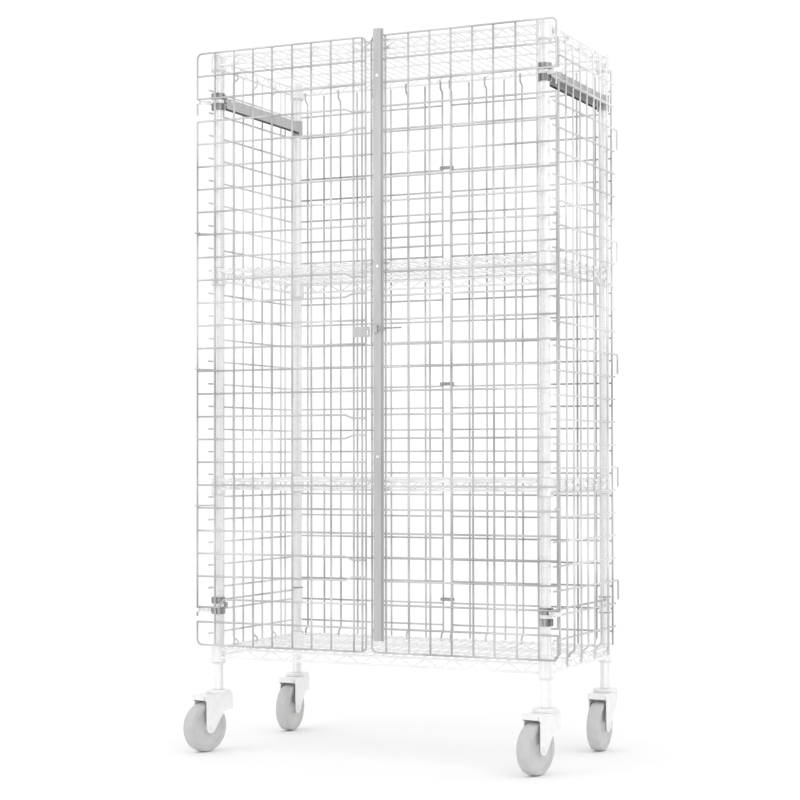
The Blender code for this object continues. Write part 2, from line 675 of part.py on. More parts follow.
# --- casters -----------------------------------------------------------------------------------
def make_stem(side, x, y, cart):
    top = POST_BOTTOM - GAP
    low = FORK_TOP + GAP
    inward, down = RACE_CHAMFER
    profile = [(0.0, POST_BOTTOM + STEM_LENGTH), (STEM_RADIUS, POST_BOTTOM + STEM_LENGTH),
               (STEM_RADIUS, top), (RACE_RADIUS - inward, top), (RACE_RADIUS, top - down),
               (RACE_RADIUS, low), (0.0, low)]
    bm = turn_profile(profile, ROUND_SIDES, centre=(x, y, 0.0))
    shade_round(add_object("caster_stem_" + side, bm, "zinc_fork", cart))


def make_fork(side, swivel):
    """Pressed fork in the swivel's own frame, where the wheel trails towards -Y."""
    hub = (-CASTER_TRAIL, WHEEL_HEIGHT)
    outline = [(FORK_BACK, FORK_TOP), (FORK_BACK, FORK_BACK_LOW),
               (hub[0] - FORK_BOSS, FORK_BACK_LOW - 0.002)]
    outline += arc(hub, FORK_BOSS, 180, 335, 6)
    outline += [(-0.0025, FORK_FRONT_LOW - 0.013), (0.0080, FORK_FRONT_LOW - 0.002),
                (FORK_FRONT, FORK_FRONT_LOW), (FORK_FRONT, FORK_TOP)]
    bm = extrude_outline(outline, "yz", -FORK_HALF_WIDTH, FORK_HALF_WIDTH)
    name = "caster_fork_" + side
    fork = add_object(name, bm, "zinc_fork", swivel)
    width = 2 * FORK_SLOT_HALF_WIDTH
    box = (*band(0.0, width), FORK_BACK - 0.020, FORK_FRONT - FORK_SHEET)
    bm = grid_sheet([box], "xy", 0.0, FORK_BACK_LOW)
    slot = add_object(name + "_slot", bm, "zinc_fork", swivel, cutter=True)
    profile = [(0.0, -0.04), (FORK_HOLE, -0.04), (FORK_HOLE, 0.04), (0.0, 0.04)]
    bm = turn_profile(profile, 12, "x", (0.0, *hub))
    hole = add_object(name + "_hole", bm, "zinc_fork", swivel, cutter=True)
    combine(fork, "DIFFERENCE", [slot, hole])


def make_wheel(side, wheel):
    """Tread, hub and axle about the X axis of the wheel's own frame."""
    half = WHEEL_HALF_WIDTH
    edge = WHEEL_RADIUS - TREAD_CHAMFER[0]
    shoulder = half - TREAD_CHAMFER[1]
    profile = [(TREAD_BORE, -half), (edge, -half), (WHEEL_RADIUS, -shoulder),
               (WHEEL_RADIUS, shoulder), (edge, half), (TREAD_BORE, half)]
    bm = turn_profile(profile, 24, "x", flat=True)
    add_object("caster_tyre_" + side, bm, "grey_tread", wheel)
    rim = (TREAD_BORE - GAP) * math.cos(math.pi / 16)
    half_profile = [(AXLE_RADIUS + RUNNING_FIT, HUB_HALF_WIDTH),
                    (HUB_BOSS_RADIUS, HUB_HALF_WIDTH),
                    (HUB_DISC_RADIUS, HUB_DISC_HALF_WIDTH), (rim, HUB_RIM_HALF_WIDTH)]
    profile = [(radius, -height) for radius, height in half_profile] + half_profile[::-1]
    bm = turn_profile(profile, 16, "x", flat=True)
    add_object("caster_hub_" + side, bm, "grey_hub", wheel)


def make_axle(side, wheel):
    face = FORK_HALF_WIDTH + GAP
    end = face + AXLE_HEAD_HEIGHT
    head = AXLE_HEAD_RADIUS
    profile = [(0.0, -end), (head, -end), (head, -face), (AXLE_RADIUS, -face),
               (AXLE_RADIUS, face), (head, face), (head, end), (0.0, end)]
    bm = turn_profile(profile, 12, "x")
    add_object("caster_axle_" + side, bm, "zinc_fork", wheel)


# --- the cart ------------------------------------------------------------------------------------
def build():
    for old in list(bpy.data.objects):
        bpy.data.objects.remove(old, do_unlink=True)
    cart = add_empty("cart_frame", None, (0.0, CART_SHIFT_Y, CART_SHIFT_Z))
    for side, (sx, sy, degrees) in CASTERS.items():
        x, y = sx * POST_X, sy * POST_Y
        make_post(side, x, y, cart)
        make_stem(side, x, y, cart)
        swivel = add_empty("caster_swivel_" + side, cart, (x, y, 0.0), math.radians(degrees))
        wheel = add_empty("caster_wheel_" + side, swivel, (0.0, -CASTER_TRAIL, WHEEL_HEIGHT))
        make_fork(side, swivel)
        make_wheel(side, wheel)
        make_axle(side, wheel)
    for level, top in SHELF_TOPS.items():
        make_shelf(level, top, cart)
    make_door("left", LEFT_DOOR_COLUMNS, cart)
    make_door("right", RIGHT_DOOR_COLUMNS, cart)
    for side in ("left", "right"):
        make_side_panel(side, cart)
        make_back_panel(side, cart)
        make_side_channel(side, cart)
        make_side_tie(side, cart)
        for level in CLAMP_HEIGHTS:
            make_hinge_clamp(side, level, cart)
    for level, z in BACK_CLIP_HEIGHTS.items():
        make_back_clip(level, z, cart)
    make_lock_bar(cart)
    make_lock_bar_hook(cart)
    for level, z in BAR_RIVET_HEIGHTS.items():
        make_bar_rivet(level, z, cart)
    make_bolt_guide(cart)
    make_slide_bolt(cart)
    make_keeper(cart)


build()
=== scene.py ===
"""Looks of the mobile wire security cart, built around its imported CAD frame."""
import math
import json

import bmesh
import bpy
from mathutils import Matrix, Vector


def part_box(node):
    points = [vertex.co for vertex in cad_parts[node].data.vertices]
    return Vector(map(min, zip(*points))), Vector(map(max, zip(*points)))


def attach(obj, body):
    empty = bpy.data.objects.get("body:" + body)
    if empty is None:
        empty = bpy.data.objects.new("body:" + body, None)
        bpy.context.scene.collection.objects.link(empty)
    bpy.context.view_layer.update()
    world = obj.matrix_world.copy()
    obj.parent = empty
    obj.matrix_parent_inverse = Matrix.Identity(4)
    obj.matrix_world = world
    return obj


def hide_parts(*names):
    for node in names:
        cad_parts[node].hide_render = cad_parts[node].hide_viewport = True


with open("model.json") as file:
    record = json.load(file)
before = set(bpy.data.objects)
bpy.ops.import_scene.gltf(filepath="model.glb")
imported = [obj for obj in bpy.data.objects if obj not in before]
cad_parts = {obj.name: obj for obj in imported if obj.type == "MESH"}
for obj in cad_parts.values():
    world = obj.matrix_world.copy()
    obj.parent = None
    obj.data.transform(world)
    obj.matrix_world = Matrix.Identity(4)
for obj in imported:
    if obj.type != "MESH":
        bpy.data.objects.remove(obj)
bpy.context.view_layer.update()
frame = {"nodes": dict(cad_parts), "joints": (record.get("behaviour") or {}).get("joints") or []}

# --- places taken from the frame ---
CORNERS = ("front_left", "front_right", "back_left", "back_right")
SIDES = {"left": -1, "right": 1}

# Heights in this file count from a level Z0 (9 mm below the floor), as the part's own do: there
# the posts' lower ends are at POST_FOOT.
POST_FOOT = 0.161
Z0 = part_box("post_front_left")[0].z - POST_FOOT


def box(node):
    """A node's box, in this file's heights."""
    low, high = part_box(node)
    lift = Vector((0.0, 0.0, Z0))
    return low - lift, high - lift


def middle(node):
    low, high = box(node)
    return (low + high) / 2


POSTS = {corner: middle("post_" + corner) for corner in CORNERS}
POST_X = POSTS["front_right"].x
POST_Y = (POSTS["back_left"].y - POSTS["front_left"].y) / 2
Y0 = (POSTS["back_left"].y + POSTS["front_left"].y) / 2     # centre of the four posts
POST_LOW = box("post_front_left")[0].z
POST_HIGH = box("post_front_left")[1].z
COLLAR_LIP = 0.0006         # of the shelf collars above the shelf's deck
SHELF_TOPS = {level: box("shelf_" + level)[1].z - COLLAR_LIP
              for level in ("bottom", "lower", "upper", "top")}
JOINTS = {joint["name"]: joint for joint in frame["joints"]}

POST_RADIUS = 0.0127
POST_BORE = 0.0113
POST_FIT = POST_RADIUS + 0.0002     # bore of what is clamped round a post
GROOVE_PITCH = 0.0254
WIRE = 0.0024               # radius of the mesh wires
ROW_PITCH = 0.05715
DOOR_Y = -0.243
DOOR_EDGE = 0.481           # the hinge wire's distance from the middle
DOOR_TOP = 1.7598
DOOR_ROWS = 26
SIDE_X = 0.461
BACK_Y = 0.236
PANEL_ROWS = 24
PANEL_JOG = 0.013           # how far the panels' hooked uprights bend inwards
TURNED_HOLE = 0.0003        # radius left open in the middle of a turned head


# --- materials ---
def make_material(name, light, dark, roughness, metallic=0.0, scale=40.0, stretch=(1, 1, 1),
                  bump=0.05, grain=900.0, spread=0.08):
    """Two tones mixed by slow noise, with fine grain in roughness and bump."""
    material = bpy.data.materials.new(name)
    material.use_nodes = True
    nodes, links = material.node_tree.nodes, material.node_tree.links
    shader = nodes["Principled BSDF"]
    shader.inputs["Metallic"].default_value = metallic
    coords = nodes.new("ShaderNodeTexCoord")
    mapping = nodes.new("ShaderNodeMapping")
    mapping.inputs["Scale"].default_value = stretch
    links.new(coords.outputs["Object"], mapping.inputs["Vector"])
    slow = nodes.new("ShaderNodeTexNoise")
    slow.inputs["Scale"].default_value = scale
    slow.inputs["Detail"].default_value = 4.0
    links.new(mapping.outputs["Vector"], slow.inputs["Vector"])
    ramp = nodes.new("ShaderNodeValToRGB")
    ramp.color_ramp.elements[0].position = 0.35
    ramp.color_ramp.elements[0].color = (*dark, 1.0)
    ramp.color_ramp.elements[1].position = 0.65
    ramp.color_ramp.elements[1].color = (*light, 1.0)
    links.new(slow.outputs["Fac"], ramp.inputs["Fac"])
    links.new(ramp.outputs["Color"], shader.inputs["Base Color"])
    fine = nodes.new("ShaderNodeTexNoise")
    fine.inputs["Scale"].default_value = grain
    fine.inputs["Detail"].default_value = 2.0
    links.new(mapping.outputs["Vector"], fine.inputs["Vector"])
    span = nodes.new("ShaderNodeMapRange")
    span.inputs["To Min"].default_value = max(roughness - spread, 0.02)
    span.inputs["To Max"].default_value = min(roughness + spread, 1.0)
    links.new(fine.outputs["Fac"], span.inputs["Value"])
    links.new(span.outputs["Result"], shader.inputs["Roughness"])
    relief = nodes.new("ShaderNodeBump")
    relief.inputs["Strength"].default_value = bump
    relief.inputs["Distance"].default_value = 0.0004
    links.new(fine.outputs["Fac"], relief.inputs["Height"])
    links.new(relief.outputs["Normal"], shader.inputs["Normal"])
    return material


def grey(value, warm=0.0):
    return (value + warm, value, value - warm)


MATERIALS = {
    # chrome grey wire whose slow light and dark patches along the wires are painted reflection
    "chrome_wire": make_material("chrome_wire", grey(0.68), grey(0.37), 0.30, 0.75, 5.0, bump=0.03),
    # paler chrome grey wire whose slow light and dark patches along the wires are painted
    # reflection
    "pale_wire_painted_reflection": make_material("pale_wire_painted_reflection", grey(0.82), grey(0.50), 0.30, 0.75, 5.0, bump=0.03),
    # pale chrome whose fine upright darker streaks are painted reflection
    "chrome_post": make_material("chrome_post", grey(0.95), grey(0.78), 0.25, 0.30, 110.0,
                                 stretch=(1, 1, 0.02)),
    "chrome_shelf": make_material("chrome_shelf", grey(0.93), grey(0.85), 0.34, 0.05, 12.0),
    "zinc_fork": make_material("zinc_fork", grey(0.88), grey(0.82), 0.42, 0.15, 60.0, bump=0.1),
    "zinc_sheet": make_material("zinc_sheet", grey(0.53), grey(0.46), 0.50, 0.20, 40.0,
                                stretch=(1, 1, 0.15), bump=0.08),
    # near-black material of painted shade, for the strip under the channels' inner legs
    "painted_shade_strip": make_material("painted_shade_strip", grey(0.08), grey(0.02), 0.5, 0.3, 90.0,
                               stretch=(1, 0.2, 1), bump=0.1),
    "bolt_steel": make_material("bolt_steel", grey(0.42), grey(0.26), 0.45, 0.3, 200.0, bump=0.1),
    "clamp_steel": make_material("clamp_steel", grey(0.50), grey(0.05), 0.34, 0.7, 130.0,
                                 stretch=(1, 1, 0.08), bump=0.08),
    "grey_tread": make_material("grey_tread", grey(0.56), grey(0.52), 0.62, 0.0, 60.0,
                                bump=0.25, grain=500.0),
    "grey_hub": make_material("grey_hub", grey(0.60, 0.006), grey(0.55, 0.003), 0.5, 0.0, 50.0,
                              bump=0.15),
    "pale_plastic": make_material("pale_plastic", grey(0.80), grey(0.70), 0.5, 0.0, 80.0,
                                  bump=0.2),
}


# --- a piece is one mesh that gathers wires, turned shapes and bent sheets ---
BEVEL_ANGLE = 40.0          # degrees
STRAIGHT_ANGLE = 175.0      # a wire's corner wider than this is left as it is
ARC_STEP = 15.0


class Piece:
    def __init__(self):
        self.bm = bmesh.new()

    def spot(self, x, y, z):
        """Points are laid out about the centre of the posts."""
        return Vector((x, y + Y0, z))

    def loft(self, rings, closed_ends=True, looped=False):
        """Skin a list of rings of points."""
        made = [[self.bm.verts.new(point) for point in ring] for ring in rings]
        pairs = list(zip(made, made[1:]))
        if looped:
            pairs.append((made[-1], made[0]))
        count = len(made[0])
        for near, far in pairs:
            for k in range(count):
                n = (k + 1) % count
                self.bm.faces.new([near[k], near[n], far[n], far[k]])
        if closed_ends and not looped:
            self.bm.faces.new(made[0][::-1])
            self.bm.faces.new(made[-1])

    def wire(self, points, radius=WIRE, bend=0.0, looped=False, sides=8):
        """A round wire along a line of points, with its corners bent to a radius."""
        points = [self.spot(*point) for point in points]
        path = rounded(points, bend, looped)
        count = len(path)
        steps = []
        for i in range(count):
            if looped:
                ahead, behind = path[(i + 1) % count], path[i - 1]
            else:
                ahead, behind = path[min(i + 1, count - 1)], path[max(i - 1, 0)]
            steps.append((ahead - behind).normalized())
        side = steps[0].orthogonal().normalized()
        if abs(steps[0].y) < 0.9:
            side = Vector((0, 1, 0)).cross(steps[0]).normalized()
        rings = []
        for point, step in zip(path, steps):
            side = (side - step * side.dot(step)).normalized()
            other = step.cross(side)
            ring = []
            for k in range(sides):
                angle = 2 * math.pi * (k + 0.5) / sides
                ring.append(point + (side * math.cos(angle) + other * math.sin(angle)) * radius)
            rings.append(ring)
        self.loft(rings, looped=looped)

    def turned(self, profile, centre, axis=(0, 0, 1), sides=32, looped=False):
        """Turn (radius, height) points about an axis through a centre."""
        spin = Vector((0, 0, 1)).rotation_difference(Vector(axis)).to_matrix()
        rings = []
        for radius, height in profile:
            ring = []
            for k in range(sides):
                angle = 2 * math.pi * k / sides
                point = Vector((radius * math.cos(angle), radius * math.sin(angle), height))
                ring.append(centre + spin @ point)
            rings.append(ring)
        self.loft(rings, looped=looped)

    def prism(self, outline, low, high, place):
        """Extrude an outline of (u, v) points from low to high; place maps (u, v, w)."""
        self.loft([[place(u, v, w) for u, v in outline] for w in (low, high)])

    def finish(self, name, material, body, replaces=(), smooth=40.0, bevel=0.0):
        """Make the object and put it on a body, in place of the nodes it replaces."""
        bmesh.ops.translate(self.bm, verts=self.bm.verts, vec=(0.0, 0.0, Z0))
        bmesh.ops.remove_doubles(self.bm, verts=self.bm.verts, dist=1e-6)
        bmesh.ops.recalc_face_normals(self.bm, faces=self.bm.faces)
        mesh = bpy.data.meshes.new(name)
        self.bm.to_mesh(mesh)
        self.bm.free()
        mesh.materials.append(MATERIALS[material])
        piece = bpy.data.objects.new(name, mesh)
        bpy.context.scene.collection.objects.link(piece)
        mesh.shade_smooth()
        mesh.set_sharp_from_angle(angle=math.radians(smooth))
        if bevel:
            modifier = piece.modifiers.new("edges", "BEVEL")
            modifier.width = bevel
            modifier.segments = 2
            modifier.limit_method = "ANGLE"
            modifier.angle_limit = math.radians(BEVEL_ANGLE)
        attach(piece, body)
        if replaces:
            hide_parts(*replaces)
        return piece


def rounded(points, bend, looped):
    """Replace each corner of a line by an arc of the bend radius."""
    if not bend:
        return points
    count = len(points)
    path = []
    for i, point in enumerate(points):
        if not looped and i in (0, count - 1):
            path.append(point)
            continue
        back = points[i - 1] - point
        ahead = points[(i + 1) % count] - point
        angle = back.angle(ahead)
        if angle > math.radians(STRAIGHT_ANGLE):
            path.append(point)
            continue
        cut = min(bend / math.tan(angle / 2), 0.49 * back.length, 0.49 * ahead.length)
        start = point + back.normalized() * cut
        end = point + ahead.normalized() * cut
        steps = max(2, int((math.pi - angle) / math.radians(ARC_STEP)))
        for k in range(steps + 1):
            t = k / steps
            path.append(start * (1 - t) ** 2 + point * 2 * t * (1 - t) + end * t * t)
    return path


def arc(centre, radius, start, end, steps):
    """Points on a circle from one angle to another, in degrees."""
    points = []
    for k in range(steps + 1):
        angle = math.radians(start + (end - start) * k / steps)
        points.append((centre[0] + radius * math.cos(angle),
                       centre[1] + radius * math.sin(angle)))
    return points


# --- posts ---
def make_post(corner):
    """Tube with a groove every inch, and its top cap."""
    piece = Piece()
    centre = Vector((POSTS[corner].x, POSTS[corner].y, 0.0))
    depth, half = 0.0006, 0.0011
    floor_half = half * 0.4
    first_groove, last_margin = 0.0195, 0.004
    chamfer = 0.0004
    profile = [(POST_BORE, POST_LOW), (POST_RADIUS - chamfer, POST_LOW),
               (POST_RADIUS, POST_LOW + 0.0006)]
    z = POST_LOW + first_groove
    while z < POST_HIGH - last_margin:
        profile += [(POST_RADIUS, z - half), (POST_RADIUS - depth, z - floor_half),
                    (POST_RADIUS - depth, z + floor_half), (POST_RADIUS, z + half)]
        z += GROOVE_PITCH
    profile += [(POST_RADIUS, POST_HIGH - 0.0006), (POST_RADIUS - chamfer, POST_HIGH),
                (POST_BORE, POST_HIGH)]
    piece.turned(profile, centre, sides=28, looped=True)
    piece.finish("post_tube_" + corner, "chrome_post", "frame", ["post_" + corner], 30.0)

    piece = Piece()
    low, high = box("post_cap_" + corner)
    base = POST_HIGH + 0.0003
    crown = base + 0.0035
    plug, middle_hole = 0.0104, 0.0005
    profile = [(middle_hole, low.z), (plug - 0.0004, low.z), (plug, low.z + 0.001), (plug, base),
               (POST_RADIUS, base), (POST_RADIUS + 0.0002, base + 0.0012), (POST_RADIUS, crown)]
    profile += [(POST_RADIUS * math.cos(math.radians(a)),
                 crown + (high.z - crown) * math.sin(math.radians(a)))
                for a in (20, 40, 60, 80)]
    profile.append((middle_hole, high.z))
    piece.turned(profile, centre)
    piece.finish("cap_" + corner, "pale_plastic", "frame", ["post_cap_" + corner])


# --- shelves ---
SHELF_HALF_X = 0.4565
SHELF_HALF_Y = 0.2286
SHELF_DROP = 0.0310         # from the deck to the underside of the lower rail
RAIL = 0.0031               # radii of a shelf's wires
ZIGZAG = 0.0019
DECK_WIRE = 0.0018
LONG_ROD = 0.0026
RAIL_REACH = 0.016          # how far the rails and the zigzag stop short of a post's middle
ZIGZAG_REACH = 0.020
BAYS_X, BAYS_Y = 24, 12
DECK_WIRES = 31
DECK_SPAN = 0.804
LONG_ROD_YS = (-0.076, 0.076)
COLLAR_BORES = (0.0172, 0.0156)     # the bore tapers, wide end down


def make_shelf(level, top):
    """Rim of two rails with a zigzag wire between them, deck wires, two long rods and collars."""
    edge_x, edge_y = SHELF_HALF_X - RAIL, SHELF_HALF_Y - RAIL
    high, low = top - RAIL - 0.0040, top - SHELF_DROP + RAIL
    piece = Piece()
    for z in (high, low):
        for sy in (-1, 1):
            piece.wire([(-POST_X + RAIL_REACH, sy * edge_y, z),
                        (POST_X - RAIL_REACH, sy * edge_y, z)], RAIL, sides=10)
        for sx in (-1, 1):
            piece.wire([(sx * edge_x, -POST_Y + RAIL_REACH, z),
                        (sx * edge_x, POST_Y - RAIL_REACH, z)], RAIL, sides=10)

    def snake(start, end, bays):
        """Zigzag between the two rails."""
        points = []
        for k in range(bays + 1):
            t = k / bays
            x = start[0] + (end[0] - start[0]) * t
            y = start[1] + (end[1] - start[1]) * t
            points.append((x, y, high if k % 2 == 0 else low))
        piece.wire(points, ZIGZAG, bend=0.004)

    for sy in (-1, 1):
        snake((-POST_X + ZIGZAG_REACH, sy * edge_y), (POST_X - ZIGZAG_REACH, sy * edge_y), BAYS_X)
    for sx in (-1, 1):
        snake((sx * edge_x, -POST_Y + ZIGZAG_REACH), (sx * edge_x, POST_Y - ZIGZAG_REACH), BAYS_Y)
    deck_z = top - DECK_WIRE - 0.0004
    for k in range(DECK_WIRES):
        x = -DECK_SPAN / 2 + DECK_SPAN * k / (DECK_WIRES - 1)
        piece.wire([(x, -edge_y - 0.0006, high), (x, -edge_y + 0.001, deck_z),
                    (x, edge_y - 0.001, deck_z), (x, edge_y + 0.0006, high)],
                   DECK_WIRE, bend=0.003)
    for y in LONG_ROD_YS:
        piece.wire([(-edge_x, y, high), (edge_x, y, high)], LONG_ROD)
    piece.finish("shelf_wires_" + level, "chrome_shelf", "frame", ["shelf_" + level], 50.0)
    for corner in CORNERS:
        make_collar(level, corner, box("shelf_" + level)[0].z, top + COLLAR_LIP)


def make_collar(level, corner, bottom, lip):
    """Tapered collar of a shelf, and the split sleeve it is wedged on."""
    centre = Vector((POSTS[corner].x, POSTS[corner].y, 0.0))
    bore_low, bore_high = COLLAR_BORES
    piece = Piece()
    profile = [(bore_low, bottom), (0.0194, bottom), (0.0198, bottom + 0.0012),
               (0.0192, bottom + 0.0030), (0.0180, lip - 0.0030), (0.0182, lip - 0.0010),
               (0.0176, lip), (bore_high, lip)]
    piece.turned(profile, centre, looped=True)
    piece.finish("collar_%s_%s" % (level, corner), "chrome_post", "frame")
    piece = Piece()
    inner = POST_RADIUS + 0.0001
    sleeve_low, sleeve_high = bottom - 0.0040, lip + 0.0022
    profile = [(inner, sleeve_low), (bore_low - 0.0001, sleeve_low + 0.0006),
               (bore_low - 0.0002, bottom), (bore_high - 0.0002, lip),
               (bore_high - 0.0004, sleeve_high - 0.0005), (inner, sleeve_high)]
    piece.turned(profile, centre, looped=True)
    piece.finish("sleeve_%s_%s" % (level, corner), "pale_plastic", "frame")


# --- mesh doors ---
def row_z(top, row):
    return top - row * ROW_PITCH


# rows of the left door that bend towards each other (up 1, down -1) at the lock side
PINCHED = {3: -1, 4: 1, 10: -1, 11: 1, 16: -1, 17: 1, 22: -1, 23: 1}
PINCH = 0.008
PINCH_XS = (-0.066, -0.045)
DOOR_COLUMNS = {
    "left": (-0.432, -0.377, -0.323, -0.2695, -0.213, -0.160, -0.106, -0.0443, -0.0215),
    "right": (0.4325, 0.378, 0.322, 0.2685, 0.213, 0.158, 0.1025, 0.042),
}
DOOR_INNER = {"left": -0.0098, "right": 0.006}
DOOR_CORNER = 0.015
DOOR_LAYER = 0.0036         # from the rows to the uprights behind them
BREAKS = ((1.588, 1.605), (0.332, 0.345))       # gaps in the hinge wire, low and high end
LOW_ROW, LOW_ROW_DROP = 24, 0.0197
LOW_ROW_XS = (-0.4180, -0.4060)


def make_door(side):
    """Border wire, uprights behind it and rows in its plane."""
    sign = SIDES[side]
    hinge, inner = sign * DOOR_EDGE, DOOR_INNER[side]
    top, bottom = DOOR_TOP, row_z(DOOR_TOP, DOOR_ROWS)
    piece = Piece()
    front, behind = DOOR_Y, DOOR_Y + DOOR_LAYER
    # the border wire runs the long way round from break to break, with one length between them
    (low_a, high_a), (low_b, high_b) = BREAKS
    border = [(hinge, front, high_a), (hinge, front, top), (inner, front, top),
              (inner, front, bottom), (hinge, front, bottom), (hinge, front, low_b)]
    piece.wire(border, WIRE, bend=DOOR_CORNER)
    piece.wire([(hinge, front, low_a), (hinge, front, high_b)], WIRE)
    for x in DOOR_COLUMNS[side]:
        piece.wire([(x, behind, top + 0.0012), (x, behind, bottom - 0.0012)], WIRE)
    for row in range(1, DOOR_ROWS):
        z = row_z(top, row)
        if side == "left" and row in PINCHED:
            shift = PINCHED[row] * PINCH
            points = [(hinge, front, z), (PINCH_XS[0], front, z), (PINCH_XS[1], front, z + shift),
                      (inner, front, z + shift)]
            piece.wire(points, WIRE, bend=0.012)
        elif side == "left" and row == LOW_ROW:
            # the wire that rests on the low lug rises to its row beside the post
            low = z - LOW_ROW_DROP
            points = [(hinge, front, low), (LOW_ROW_XS[0], front, low),
                      (LOW_ROW_XS[1], front, z), (inner, front, z)]
            piece.wire(points, WIRE, bend=0.006)
        else:
            piece.wire([(hinge, front, z), (inner, front, z)], WIRE)
    piece.finish(side + "_door_mesh", "chrome_wire", side + "_door_leaf", [side + "_door"], 50.0)


# --- side panels ---
SIDE_TOP = {"left": 1.672, "right": 1.688}
STRAIGHT_TOP = {"left": 1.730, "right": 1.740}
FRONT_HOOKS = (1.308, 0.965, 0.622)
REAR_HOOK_ROWS = (2, 7, 12, 17, 22)
HOOK_LENGTH = 0.049
HOOK_RADIUS = 0.0064        # of the hooks round the door wire
HOOK_WIRE = 0.0019
SIDE_ROW_YS = (-0.219, 0.226)
REAR_HOOK_Y = 0.2482
SIDE_STRAIGHT = {
    "left": (-0.1514, -0.0498, 0.0518, 0.1545, 0.1790),
    "right": (-0.1193, -0.0199, 0.0795, 0.1789),
}
SIDE_HOOKED = {"left": (-0.1006, 0.0010, 0.1026), "right": (-0.1690, -0.0696, 0.0298, 0.1292)}


def make_side_panel(side):
    """Upright wires, every other one bent inwards at both ends, rows outside them, and hooks."""
    sign = SIDES[side]
    top_row = SIDE_TOP[side]
    rows_x, uprights_x = sign * (SIDE_X + 0.0012), sign * (SIDE_X - 0.0020)
    piece = Piece()
    for y in SIDE_STRAIGHT[side]:
        piece.wire([(uprights_x, y, 0.248), (uprights_x, y, STRAIGHT_TOP[side])], WIRE)
    jog = sign * (SIDE_X - 0.0020 - PANEL_JOG)
    tip = top_row + 0.067
    shoulder = tip - 0.027
    for y in SIDE_HOOKED[side]:
        piece.wire([(jog, y, 0.256), (jog, y, 0.272), (uprights_x, y, 0.281),
                    (uprights_x, y, shoulder), (jog, y, shoulder + 0.007), (jog, y, tip)],
                   WIRE, bend=0.005)
    start, end = SIDE_ROW_YS
    for row in range(PANEL_ROWS + 1):
        z = row_z(top_row, row)
        if row in REAR_HOOK_ROWS:
            piece.wire([(rows_x, start, z), (rows_x, REAR_HOOK_Y, z),
                        (rows_x, REAR_HOOK_Y, z - HOOK_LENGTH)], WIRE, bend=0.006)
        else:
            piece.wire([(rows_x, start, z), (rows_x, end, z)], WIRE)
    first = min(SIDE_STRAIGHT[side] + SIDE_HOOKED[side])
    path = [(SIDE_X + 0.001, first), (SIDE_X + 0.001, -0.205)]
    path += arc((DOOR_EDGE, DOOR_Y), HOOK_RADIUS, 40, -200, 12)
    for z in FRONT_HOOKS:
        piece.wire([(sign * x, y, z) for x, y in path], HOOK_WIRE)
    piece.finish(side + "_side_mesh", "pale_wire_painted_reflection", "frame", [side + "_side_panel"], 50.0)


# --- back panels ---
BACK_COLUMNS = {         # first upright, pitch and last upright, from the middle
    "left": (0.0167, 0.0503, 0.455),
    "right": (0.0095, 0.0499, 0.4515),
}
BACK_TOP = 1.673


def make_back_panel(side):
    """Half-width panel like the side panels, with its rows outside the uprights."""
    piece = Piece()
    first, pitch, last = BACK_COLUMNS[side]
    columns = [SIDES[side] * (first + pitch * i) for i in range(9)] + [SIDES[side] * last]
    column_y, row_y = BACK_Y - 0.0002, BACK_Y + 0.0024
    for i, x in enumerate(columns):
        if i % 2 or i == len(columns) - 1:
            piece.wire([(x, column_y, 0.267), (x, column_y, 1.728)], WIRE)
            continue
        jog = column_y - PANEL_JOG
        piece.wire([(x, jog, 0.260), (x, jog, 0.276), (x, column_y, 0.285),
                    (x, column_y, 1.708), (x, jog, 1.716), (x, jog, 1.737)], WIRE, bend=0.005)
    for row in range(PANEL_ROWS + 1):
        z = row_z(BACK_TOP, row)
        piece.wire([(columns[0], row_y, z), (columns[-1], row_y, z)], WIRE)
    piece.finish(side + "_back_mesh", "chrome_wire", "frame", [side + "_back_panel"], 50.0)


def make_back_clip(level):
    """Bent strip that hooks the inner wires of the two back panels together."""
    low, high = box("back_clip_" + level)
    centre = (low + high) / 2
    piece = Piece()
    half_x, half_z = (high.x - low.x) / 2, (high.z - low.z) / 2
    corner = 0.003
    outline = []
    for sx, sz, start in ((1, 1, 0), (-1, 1, 90), (-1, -1, 180), (1, -1, 270)):
        outline += arc((sx * (half_x - corner), sz * (half_z - corner)), corner,
                       start, start + 90, 4)
    piece.prism(outline, 0.0, high.y - low.y,
                lambda u, v, w: Vector((centre.x + u, high.y - w, centre.z + v)))
    piece.finish("clip_" + level, "bolt_steel", "frame", ["back_clip_" + level], bevel=0.0006)


# --- hinge clamps ---
LUGS = {"upper": (1.6326, 1.6426), "lower": (0.3754, 0.3854)}
LEFT_LOWER_LUG = (0.3558, 0.3658)
CLAMP_MIDDLES = {"upper": 1.641, "lower": 0.371}
CLAMP_RADIUS = 0.0178
BANDS = ((-0.0210, -0.0045), (0.0060, 0.0210))      # heights from the clamp's middle
SLEEVE = (-0.0044, 0.0059)
EYE_RADIUS = 0.0078
LUG_ROOT_HALF, LUG_WAIST_HALF = 0.0042, 0.0028
WAIST_REACH = 0.0290
EAR_GAP, EAR_HALF, EAR_LENGTH, EAR_HALF_HEIGHT = 0.0026, 0.0012, 0.0075, 0.0075


